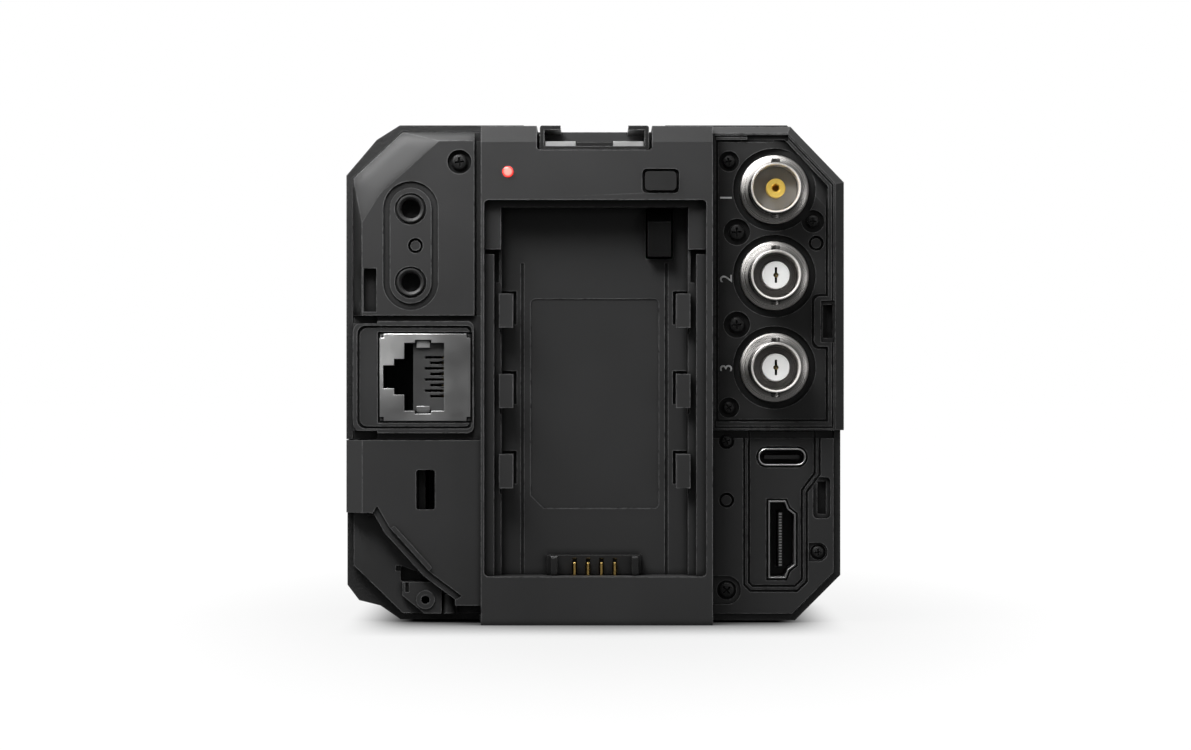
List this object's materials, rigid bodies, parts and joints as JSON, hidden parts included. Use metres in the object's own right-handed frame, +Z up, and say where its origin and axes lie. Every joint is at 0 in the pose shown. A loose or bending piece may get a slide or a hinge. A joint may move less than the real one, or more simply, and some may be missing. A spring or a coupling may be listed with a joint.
{
  "type": "box cinema camera",
  "caption": "Cube-shaped cinema camera body with an open battery bay and sockets on the rear, an accessory shoe on top and a bayonet lens mount in front.",
  "frame": {"origin": "mouth of the tripod thread in the underside, on the standing plane", "axes": "+Y towards the lens, +Z up, +X to the right seen from behind"},
  "size_m": [0.0935, 0.0794, 0.093],
  "materials": {
    "casing": "black, fine crinkle",
    "housing_plastic": "black, fine grain",
    "panel_plastic": "black, fine grain",
    "door_plastic": "black, fine grain",
    "black_plastic": "black, smooth",
    "button_plastic": "black, satin",
    "red_plastic": "red, satin",
    "coaxial_nickel": "turned nickel",
    "socket_white": "white, smooth",
    "contact_gold": "gold plate",
    "shield_tin": "tinned sheet",
    "screw_black": "black oxide",
    "mount_steel": "turned steel",
    "shoe_black": "black paint, worn",
    "spring_steel": "spring sheet",
    "lamp_red": "clear red",
    "board_green": "solder mask",
    "fin_aluminium": "milled",
    "sensor_ceramic": "ceramic",
    "sensor_face": "dark mirror-like film",
    "sensor_glass": "coated"
  },
  "bodies": {
    "root": {"audio_panel": "panel_plastic", "base_plate": "casing", "battery_housing": "housing_plastic", "battery_terminal_blades": "contact_gold", "battery_terminal_block": "black_plastic", "board_standoffs": "spring_steel", "card_door_pin": "mount_steel", "card_slot_unit": "fin_aluminium", "case_screws": "screw_black", "coaxial_contacts": "contact_gold", "coaxial_insulators": "socket_white", "coaxial_shells": "coaxial_nickel", "connector_board": "board_green", "control_panel": "panel_plastic", "data_panel": "panel_plastic", "data_socket_shell": "shield_tin", "data_socket_tongue": "black_plastic", "fan_housing": "black_plastic", "front_cover": "casing", "front_tally_lamp": "lamp_red", "headphone_jack": "black_plastic", "heat_sink": "fin_aluminium", "image_sensor": "sensor_face", "large_panel_screws": "screw_black", "lens_contact_block": "black_plastic", "lens_contact_pins": "contact_gold", "lens_mount_ring": "mount_steel", "lower_left_bezel": "door_plastic", "main_board": "board_green", "main_shell": "casing", "microphone_jack": "black_plastic", "monitor_socket_shell": "shield_tin", "monitor_socket_tongue": "black_plastic", "mount_screws": "mount_steel", "network_contacts": "contact_gold", "network_insert": "black_plastic", "network_panel": "panel_plastic", "network_shield": "shield_tin", "sensor_carrier": "fin_aluminium", "sensor_cover_glass": "sensor_glass", "sensor_package": "sensor_ceramic", "shoe_claws": "shoe_black", "shoe_contact_block": "black_plastic", "shoe_springs": "spring_steel", "small_panel_screws": "screw_black", "status_lamp": "lamp_red", "switch_board": "board_green", "thread_inserts": "mount_steel", "throat_baffle": "black_plastic", "top_plate": "casing", "video_panel": "panel_plastic"},
    "battery_release": {"battery_release_button": "button_plastic"},
    "battery_catch": {"battery_latch": "black_plastic"},
    "door": {"card_door": "door_plastic"},
    "lens_release": {"lens_release_button": "button_plastic"},
    "lens_lock": {"lens_lock_pin": "mount_steel"},
    "rotor": {"fan_rotor": "black_plastic"},
    "record_key": {"record_button": "red_plastic"},
    "direction_key": {"direction_pad": "button_plastic"},
    "power_key": {"power_button": "button_plastic"}
  },
  "joints": [
    {"name": "battery_release_press", "type": "slide", "parent": "root", "child": "battery_release", "axis": [0, 1, 0], "range_m": [0, 0.0012], "stiffness_N_per_m": 400},
    {"name": "battery_latch_draw", "type": "slide", "parent": "root", "child": "battery_catch", "axis": [0, 1, 0], "range_m": [0, 0.0036]},
    {"name": "card_door_hinge", "type": "hinge", "parent": "root", "child": "door", "pos_m": [-0.04505, -0.0236, 0.0274], "axis": [0, 0, -1], "range_deg": [0, 100]},
    {"name": "lens_release_press", "type": "slide", "parent": "root", "child": "lens_release", "axis": [0, -1, 0], "range_m": [0, 0.0025], "stiffness_N_per_m": 400},
    {"name": "lens_lock_draw", "type": "slide", "parent": "root", "child": "lens_lock", "axis": [0, -1, 0], "range_m": [0, 0.0015]},
    {"name": "fan_spin", "type": "hinge", "parent": "root", "child": "rotor", "pos_m": [0.04, 0.0095, 0.0455], "axis": [1, 0, 0], "continuous": true},
    {"name": "record_press", "type": "slide", "parent": "root", "child": "record_key", "axis": [1, 0, 0], "range_m": [0, 0.0006], "stiffness_N_per_m": 600},
    {"name": "direction_press", "type": "slide", "parent": "root", "child": "direction_key", "axis": [1, 0, 0], "range_m": [0, 0.0006], "stiffness_N_per_m": 600},
    {"name": "power_press", "type": "slide", "parent": "root", "child": "power_key", "axis": [1, 0, 0], "range_m": [0, 0.0006], "stiffness_N_per_m": 600}
  ],
  "couplings": [
    {"joint": "battery_latch_draw", "follows": "battery_release_press", "ratio": 3},
    {"joint": "lens_lock_draw", "follows": "lens_release_press", "ratio": 0.6}
  ]
}
